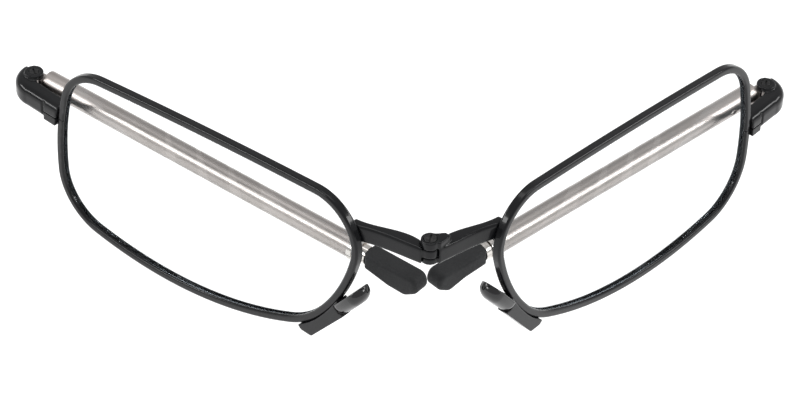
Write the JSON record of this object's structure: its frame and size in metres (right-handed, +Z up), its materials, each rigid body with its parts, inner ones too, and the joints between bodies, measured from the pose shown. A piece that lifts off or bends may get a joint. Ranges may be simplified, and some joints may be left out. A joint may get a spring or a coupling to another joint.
{
  "type": "folding reading glasses",
  "caption": "Folding reading glasses: lenses in thin black rims, hinged in the middle of the bridge, with telescopic metal temples and rubber tips.",
  "frame": {"origin": "on the ground, under the middle of the rest pose, in which the bridge is half folded, to 88 degrees, and the temples lie behind the lenses, both pushed in", "axes": "+Z up as worn, the front faces -Y, and +X is the wearer's left; left and right in the names are the wearer's"},
  "size_m": [0.0966, 0.0474, 0.0294],
  "materials": {
    "black_coat": "gloss",
    "black_screw": "satin",
    "black_pad": "gloss",
    "lens": "clear, coated",
    "tube_steel": "satin",
    "polished_steel": "polished",
    "brass_bush": "machined",
    "tip_rubber": "matte"
  },
  "bodies": {
    "left_front": {"bridge_screw": "black_screw", "left_bridge_fork": "black_coat", "left_rim": "black_coat", "left_lens": "lens", "left_rim_lock_lug": "black_coat", "left_rim_lock_screw": "black_screw", "left_endpiece": "black_coat", "left_pad_bracket": "black_coat", "left_nose_pad": "black_pad", "left_temple_screw": "black_screw"},
    "right_front": {"right_bridge_tongue": "black_coat", "right_rim": "black_coat", "right_lens": "lens", "right_rim_lock_lug": "black_coat", "right_rim_lock_screw": "black_screw", "right_endpiece": "black_coat", "right_pad_bracket": "black_coat", "right_nose_pad": "black_pad", "right_temple_screw": "black_screw"},
    "left_temple": {"left_temple_knuckle": "tube_steel", "left_tube_pin": "polished_steel", "left_outer_tube": "tube_steel", "left_outer_collar": "polished_steel"},
    "left_middle_section": {"left_middle_tube": "tube_steel", "left_middle_bush": "brass_bush", "left_middle_collar": "polished_steel"},
    "left_inner_section": {"left_inner_rod": "tube_steel", "left_rod_bush": "brass_bush", "left_ferrule": "polished_steel", "left_rubber_tip": "tip_rubber"},
    "right_temple": {"right_temple_knuckle": "tube_steel", "right_tube_pin": "polished_steel", "right_outer_tube": "tube_steel", "right_outer_collar": "polished_steel"},
    "right_middle_section": {"right_middle_tube": "tube_steel", "right_middle_bush": "brass_bush", "right_middle_collar": "polished_steel"},
    "right_inner_section": {"right_inner_rod": "tube_steel", "right_rod_bush": "brass_bush", "right_ferrule": "polished_steel", "right_rubber_tip": "tip_rubber"}
  },
  "joints": [
    {"name": "bridge_fold", "type": "hinge", "parent": "left_front", "child": "right_front", "pos_m": [0, -0.02259, 0.0257], "axis": [0, 0, 1], "range_deg": [-20, 92]},
    {"name": "left_temple_fold", "type": "hinge", "parent": "left_front", "child": "left_temple", "pos_m": [0.04595, 0.02172, 0.0124], "axis": [0, 0, -1], "range_deg": [-5.7, 83]},
    {"name": "left_middle_slide", "type": "slide", "parent": "left_temple", "child": "left_middle_section", "axis": [-0.776, -0.6307, 0], "range_m": [0, 0.0325]},
    {"name": "left_inner_slide", "type": "slide", "parent": "left_middle_section", "child": "left_inner_section", "axis": [-0.776, -0.6307, 0], "range_m": [0, 0.0315]},
    {"name": "right_temple_fold", "type": "hinge", "parent": "right_front", "child": "right_temple", "pos_m": [-0.04595, 0.02172, 0.016], "axis": [0, 0, 1], "range_deg": [-3.4, 86]},
    {"name": "right_middle_slide", "type": "slide", "parent": "right_temple", "child": "right_middle_section", "axis": [0.7443, -0.6678, 0], "range_m": [0, 0.0286]},
    {"name": "right_inner_slide", "type": "slide", "parent": "right_middle_section", "child": "right_inner_section", "axis": [0.7443, -0.6678, 0], "range_m": [0, 0.0315]}
  ]
}
